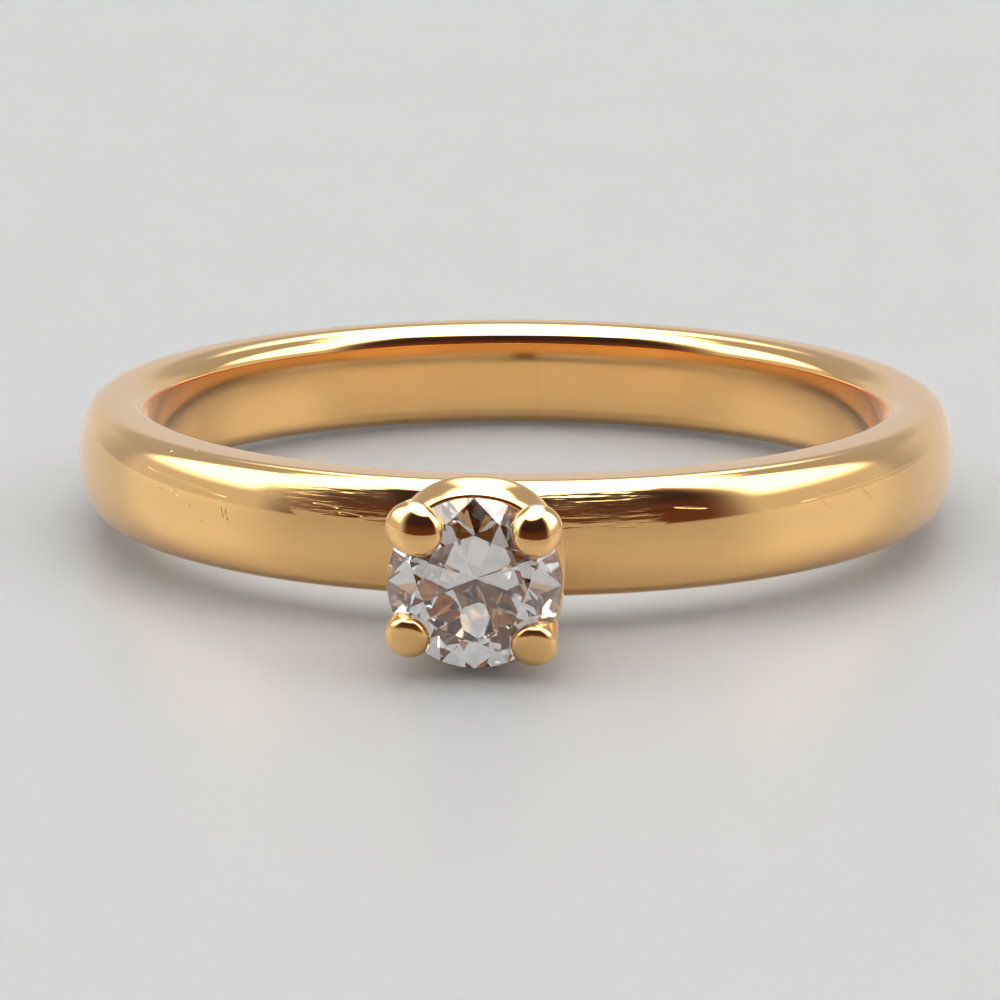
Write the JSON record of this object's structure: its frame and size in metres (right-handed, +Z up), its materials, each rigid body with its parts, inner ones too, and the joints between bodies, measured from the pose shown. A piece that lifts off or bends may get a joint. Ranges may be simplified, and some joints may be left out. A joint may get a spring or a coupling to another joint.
{
  "type": "engagement ring",
  "caption": "Solitaire finger ring: a plain domed gold band, a tapered collet with round-tipped claws and a round brilliant stone, lying on its side as on a table.",
  "frame": {"origin": "middle of the ring's bounding footprint, on the table that it lies on", "axes": "+Z up from the table, the way the finger hole faces but for the ring's small resting tilt; -Y the way the stone faces; +X to the right as the stone is looked at"},
  "size_m": [0.0198, 0.0234, 0.0039],
  "materials": {
    "band_gold": "polished yellow gold with fine scratches from wear",
    "claw_gold": "brightly polished yellow gold",
    "gold_solder": "polished gold solder, a little paler than the band",
    "stone": "colourless brilliant-cut diamond, polished flat facets"
  },
  "bodies": {
    "root": {"shank": "band_gold", "shank_solder_seam": "gold_solder", "collet": "band_gold", "collet_solder_saddle": "gold_solder", "claw_upper_left": "claw_gold", "claw_upper_right": "claw_gold", "claw_lower_left": "claw_gold", "claw_lower_right": "claw_gold", "brilliant_stone": "stone"}
  },
  "joints": []
}
